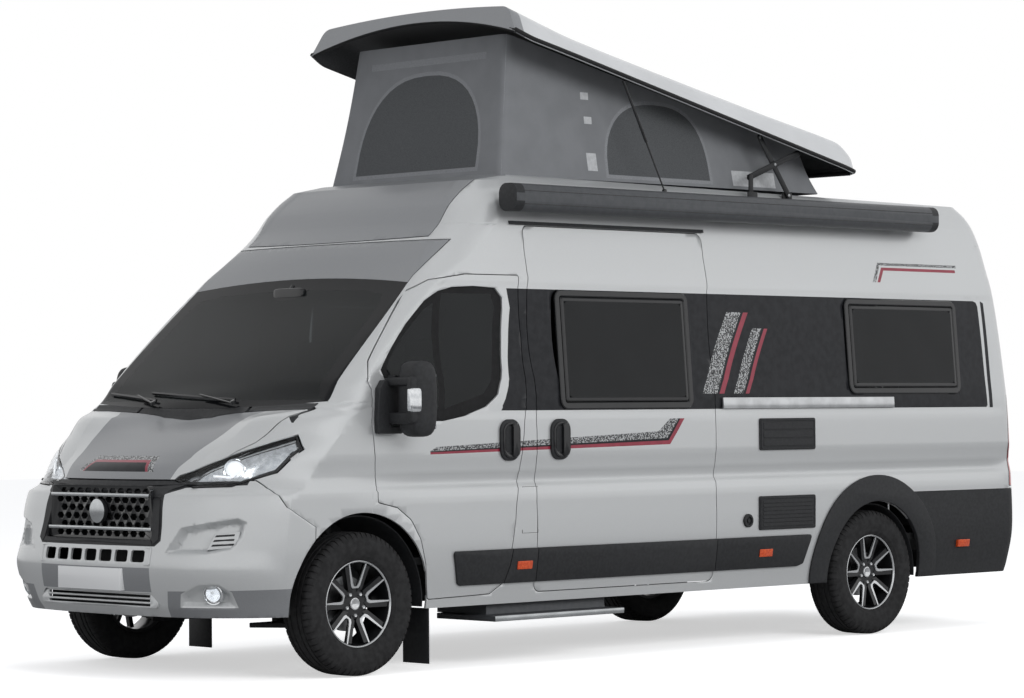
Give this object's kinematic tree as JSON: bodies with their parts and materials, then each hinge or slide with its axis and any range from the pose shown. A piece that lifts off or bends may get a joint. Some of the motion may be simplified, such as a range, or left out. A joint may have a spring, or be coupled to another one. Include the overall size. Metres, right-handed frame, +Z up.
{
  "type": "camper van",
  "caption": "High-roof camper van with a raised pop-top roof tent, roof-edge awning case, sliding side door and hinged cab doors, bonnet and rear doors.",
  "frame": {"origin": "on the ground, midway along the length and the width", "axes": "+X forward, +Y to the vehicle's left, +Z up"},
  "size_m": [6.363, 2.504, 3.5465],
  "materials": {
    "silver_paint": "metallic",
    "bumper_plastic": "metallic",
    "grey_fairing": "satin",
    "lamp_clear": "clear",
    "screen_glass": "clear",
    "tinted_glass": "tinted",
    "black_plastic": "matt",
    "bright_trim": "bright",
    "plate_white": "blank",
    "lamp_red": "gloss",
    "dark_aluminium": "powder-coated",
    "floor_steel": "coated",
    "cast_steel": "coated",
    "engine_block": "cast",
    "seat_fabric": "woven",
    "tent_cloth": "canvas",
    "lid_plastic": "metallic",
    "bright_steel": "satin",
    "strut_black": "gloss",
    "tyre_rubber": "matt",
    "rim_alloy": "black and polished"
  },
  "bodies": {
    "van_body": {"body_side_left": "silver_paint", "body_side_right": "silver_paint", "roof_panel": "silver_paint", "front_wings": "silver_paint", "sliding_door": "silver_paint", "front_bumper": "bumper_plastic", "roof_fairing": "grey_fairing", "headlamps": "lamp_clear", "windscreen": "screen_glass", "side_windows": "tinted_glass", "rear_bumper": "black_plastic", "cowl": "black_plastic", "grille": "black_plastic", "grille_bars": "bright_trim", "number_plate": "plate_white", "side_trim": "black_plastic", "arch_flares": "black_plastic", "fridge_vents": "black_plastic", "signal_lamps": "lamp_red", "awning_case": "dark_aluminium", "entrance_step": "dark_aluminium", "underbody_plastics": "black_plastic", "floor_pan": "floor_steel", "front_subframe": "cast_steel", "rear_axle": "cast_steel", "engine": "engine_block", "dashboard": "black_plastic", "cab_seats": "seat_fabric", "tent": "tent_cloth", "hinge_brackets": "bright_steel"},
    "bonnet_panel": {"bonnet": "silver_paint"},
    "left_cab_door": {"cab_door_left": "silver_paint", "cab_glass_left": "screen_glass", "door_trim_left": "black_plastic", "mirror_left": "black_plastic"},
    "right_cab_door": {"cab_door_right": "silver_paint", "cab_glass_right": "screen_glass", "door_trim_right": "black_plastic", "mirror_right": "black_plastic"},
    "left_rear_door": {"rear_door_left": "silver_paint", "rear_glass_left": "tinted_glass"},
    "right_rear_door": {"rear_door_right": "silver_paint", "rear_glass_right": "tinted_glass"},
    "left_knuckle": {"knuckle_left": "cast_steel"},
    "right_knuckle": {"knuckle_right": "cast_steel"},
    "arms": {"main_arms": "bright_steel"},
    "lid": {"pop_top_lid": "lid_plastic"},
    "crossed_arms": {"cross_arms": "bright_steel"},
    "knees": {"knee_links": "bright_steel"},
    "barrels": {"strut_barrels": "strut_black"},
    "rods": {"strut_rods": "bright_steel"},
    "front_left_wheel": {"tyre_front_left": "tyre_rubber", "rim_front_left": "rim_alloy"},
    "front_right_wheel": {"tyre_front_right": "tyre_rubber", "rim_front_right": "rim_alloy"},
    "rear_left_wheel": {"tyre_rear_left": "tyre_rubber", "rim_rear_left": "rim_alloy"},
    "rear_right_wheel": {"tyre_rear_right": "tyre_rubber", "rim_rear_right": "rim_alloy"}
  },
  "joints": [
    {"name": "pop_top_arms", "type": "hinge", "parent": "van_body", "child": "arms", "pos_m": [-1.275, 0, 2.575], "axis": [0, 1, 0], "range_deg": [0, 51], "deforming": ["tent"]},
    {"name": "lid_on_arms", "type": "hinge", "parent": "arms", "child": "lid", "pos_m": [-1.02527, 0, 2.9052], "axis": [0, 1, 0], "range_deg": [-38.45, 0]},
    {"name": "crossed_arms_pin", "type": "hinge", "parent": "arms", "child": "crossed_arms", "pos_m": [-1.14264, 0, 2.75001], "axis": [0, 1, 0], "range_deg": [-65.75, 0]},
    {"name": "knee_link_foot", "type": "hinge", "parent": "van_body", "child": "knees", "pos_m": [-0.919, 0, 2.565], "axis": [0, 1, 0], "range_deg": [0, 93.85]},
    {"name": "strut_barrel_pin", "type": "hinge", "parent": "lid", "child": "barrels", "pos_m": [0.13532, 0, 3.15438], "axis": [0, 1, 0], "range_deg": [0, 46.55]},
    {"name": "strut_rod_slide", "type": "slide", "parent": "barrels", "child": "rods", "axis": [0.4771, 0, 0.8788], "range_m": [0, 0.166]},
    {"name": "bonnet_hinge", "type": "hinge", "parent": "van_body", "child": "bonnet_panel", "pos_m": [2.4705, 0, 1.345], "axis": [0, -1, 0], "range_deg": [0, 55]},
    {"name": "left_cab_door_hinge", "type": "hinge", "parent": "van_body", "child": "left_cab_door", "pos_m": [2.1885, 1.036, 1], "axis": [0, 0, -1], "range_deg": [0, 70]},
    {"name": "right_cab_door_hinge", "type": "hinge", "parent": "van_body", "child": "right_cab_door", "pos_m": [2.1885, -1.036, 1], "axis": [0, 0, 1], "range_deg": [0, 70]},
    {"name": "left_rear_door_hinge", "type": "hinge", "parent": "van_body", "child": "left_rear_door", "pos_m": [-3.2045, 0.868, 0.655], "axis": [-0.0938, 0, -0.9956], "range_deg": [0, 90]},
    {"name": "right_rear_door_hinge", "type": "hinge", "parent": "van_body", "child": "right_rear_door", "pos_m": [-3.2045, -0.868, 0.655], "axis": [0.0938, 0, 0.9956], "range_deg": [0, 90]},
    {"name": "steer_left", "type": "hinge", "parent": "van_body", "child": "left_knuckle", "pos_m": [2.2335, 0.742, 0.4], "axis": [0, 0, 1], "range_deg": [-35, 35]},
    {"name": "steer_right", "type": "hinge", "parent": "van_body", "child": "right_knuckle", "pos_m": [2.2335, -0.742, 0.4], "axis": [0, 0, 1], "range_deg": [-35, 35]},
    {"name": "spin_front_left", "type": "hinge", "parent": "left_knuckle", "child": "front_left_wheel", "pos_m": [2.2335, 0.905, 0.364], "axis": [0, 1, 0], "continuous": true},
    {"name": "spin_rear_left", "type": "hinge", "parent": "van_body", "child": "rear_left_wheel", "pos_m": [-1.8015, 0.895, 0.364], "axis": [0, 1, 0], "continuous": true},
    {"name": "spin_front_right", "type": "hinge", "parent": "right_knuckle", "child": "front_right_wheel", "pos_m": [2.2335, -0.905, 0.364], "axis": [0, 1, 0], "continuous": true},
    {"name": "spin_rear_right", "type": "hinge", "parent": "van_body", "child": "rear_right_wheel", "pos_m": [-1.8015, -0.895, 0.364], "axis": [0, 1, 0], "continuous": true}
  ],
  "couplings": [
    {"joint": "lid_on_arms", "follows": "pop_top_arms", "ratio": -0.75294},
    {"joint": "crossed_arms_pin", "follows": "pop_top_arms", "ratio": -1.2882},
    {"joint": "knee_link_foot", "follows": "pop_top_arms", "ratio": 1.8392},
    {"joint": "strut_barrel_pin", "follows": "pop_top_arms", "ratio": 0.91176},
    {"joint": "strut_rod_slide", "follows": "pop_top_arms", "m_per_rad": 0.18481},
    {"joint": "steer_right", "follows": "steer_left", "ratio": 1}
  ]
}
